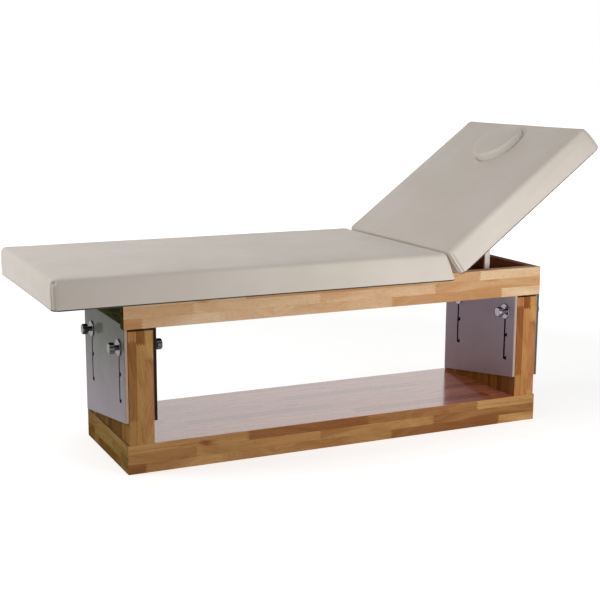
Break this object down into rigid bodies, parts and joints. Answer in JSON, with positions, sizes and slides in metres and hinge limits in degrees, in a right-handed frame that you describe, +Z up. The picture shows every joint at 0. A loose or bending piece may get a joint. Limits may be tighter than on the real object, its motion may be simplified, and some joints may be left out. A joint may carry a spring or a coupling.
{
  "type": "spa treatment bed",
  "caption": "Padded spa treatment bed on a boxed wooden base, with a shelf plinth, sliding height panels, clamp knobs, a propped tilting back and a face plug.",
  "frame": {"origin": "on the floor, under the middle of the plinth", "axes": "+X towards the head end, +Y towards the rear long side, +Z up"},
  "size_m": [1.8244, 0.7, 1.0131],
  "materials": {
    "vinyl": "smooth warm white upholstery vinyl, satin",
    "frame_wood": "clear lacquered solid wood, staves running along the rail",
    "post_wood": "clear lacquered solid wood, staves running upright",
    "plinth_wood": "glossy lacquered solid wood, staves running along the base",
    "panel_laminate": "smooth grey sheen on board, with bare wood edges",
    "plywood": "plain plywood",
    "dowel_wood": "plain beech dowel",
    "knob_chrome": "bright plated",
    "hardware_steel": "zinc plated",
    "insert_brass": "plain",
    "prop_paint": "cream white paint"
  },
  "bodies": {
    "base": {"plinth_front_rail": "plinth_wood", "plinth_rear_rail": "plinth_wood", "plinth_foot_rail": "plinth_wood", "plinth_head_rail": "plinth_wood", "plinth_bearers": "plinth_wood", "shelf_deck": "plinth_wood", "post_dowels": "dowel_wood", "foot_front_post": "post_wood", "foot_rear_post": "post_wood", "head_front_post": "post_wood", "head_rear_post": "post_wood", "foot_outer_board": "post_wood", "foot_inner_board": "post_wood", "head_inner_board": "post_wood", "head_outer_board": "post_wood", "threaded_inserts": "insert_brass", "clamp_studs": "hardware_steel", "clamp_washers": "knob_chrome"},
    "lift_frame": {"frame_front_rail": "frame_wood", "frame_rear_rail": "frame_wood", "frame_foot_rail": "frame_wood", "frame_head_rail": "frame_wood", "foot_panel_rail": "frame_wood", "head_panel_rail": "frame_wood", "hinge_rail": "frame_wood", "seat_rails": "frame_wood", "frame_dowels": "dowel_wood", "panel_dowels": "dowel_wood", "foot_outer_panel": "panel_laminate", "foot_inner_panel": "panel_laminate", "head_inner_panel": "panel_laminate", "head_outer_panel": "panel_laminate", "seat_board": "plywood", "seat_board_screws": "hardware_steel", "seat_cushion": "vinyl", "hinge_frame_leaves": "hardware_steel", "hinge_frame_screws": "hardware_steel", "hinge_pins": "hardware_steel", "prop_racks": "prop_paint", "rack_screws": "hardware_steel"},
    "backrest": {"back_board": "plywood", "back_cushion": "vinyl", "hinge_back_leaves": "hardware_steel", "hinge_back_screws": "hardware_steel", "prop_brackets": "hardware_steel", "bracket_screws": "hardware_steel", "prop_pins": "hardware_steel"},
    "prop": {"prop_legs": "prop_paint", "prop_crossbar": "prop_paint"},
    "face_plug": {"plug_board": "plywood", "plug_pad": "vinyl"},
    "knob_foot_inner_front": {"knob_foot_inner_front": "knob_chrome"},
    "knob_foot_inner_rear": {"knob_foot_inner_rear": "knob_chrome"},
    "knob_foot_outer_front": {"knob_foot_outer_front": "knob_chrome"},
    "knob_foot_outer_rear": {"knob_foot_outer_rear": "knob_chrome"},
    "knob_head_inner_front": {"knob_head_inner_front": "knob_chrome"},
    "knob_head_inner_rear": {"knob_head_inner_rear": "knob_chrome"},
    "knob_head_outer_front": {"knob_head_outer_front": "knob_chrome"},
    "knob_head_outer_rear": {"knob_head_outer_rear": "knob_chrome"}
  },
  "joints": [
    {"name": "lift", "type": "slide", "parent": "base", "child": "lift_frame", "axis": [0, 0, 1], "range_m": [0, 0.164]},
    {"name": "back_tilt", "type": "hinge", "parent": "lift_frame", "child": "backrest", "pos_m": [0.3308, 0, 0.534], "axis": [0, 1, 0], "range_deg": [0, 37]},
    {"name": "prop_swing", "type": "hinge", "parent": "backrest", "child": "prop", "pos_m": [0.56672, 0, 0.70114], "axis": [0, 1, 0], "range_deg": [0, 54]},
    {"name": "plug_lift", "type": "slide", "parent": "backrest", "child": "face_plug", "axis": [-0.6018, 0, 0.7986], "range_m": [0, 0.15]},
    {"name": "knob_foot_inner_front_turn", "type": "hinge", "parent": "base", "child": "knob_foot_inner_front", "pos_m": [-0.617, -0.17, 0.38], "axis": [1, 0, 0], "continuous": true},
    {"name": "knob_foot_inner_rear_turn", "type": "hinge", "parent": "base", "child": "knob_foot_inner_rear", "pos_m": [-0.617, 0.126, 0.38], "axis": [1, 0, 0], "continuous": true},
    {"name": "knob_foot_outer_front_turn", "type": "hinge", "parent": "base", "child": "knob_foot_outer_front", "pos_m": [-0.755, -0.17, 0.38], "axis": [-1, 0, 0], "continuous": true},
    {"name": "knob_foot_outer_rear_turn", "type": "hinge", "parent": "base", "child": "knob_foot_outer_rear", "pos_m": [-0.755, 0.126, 0.38], "axis": [-1, 0, 0], "continuous": true},
    {"name": "knob_head_inner_front_turn", "type": "hinge", "parent": "base", "child": "knob_head_inner_front", "pos_m": [0.617, -0.17, 0.38], "axis": [-1, 0, 0], "continuous": true},
    {"name": "knob_head_inner_rear_turn", "type": "hinge", "parent": "base", "child": "knob_head_inner_rear", "pos_m": [0.617, 0.126, 0.38], "axis": [-1, 0, 0], "continuous": true},
    {"name": "knob_head_outer_front_turn", "type": "hinge", "parent": "base", "child": "knob_head_outer_front", "pos_m": [0.755, -0.17, 0.38], "axis": [1, 0, 0], "continuous": true},
    {"name": "knob_head_outer_rear_turn", "type": "hinge", "parent": "base", "child": "knob_head_outer_rear", "pos_m": [0.755, 0.126, 0.38], "axis": [1, 0, 0], "continuous": true}
  ],
  "couplings": [
    {"joint": "prop_swing", "follows": "back_tilt", "ratio": 1.4324}
  ]
}
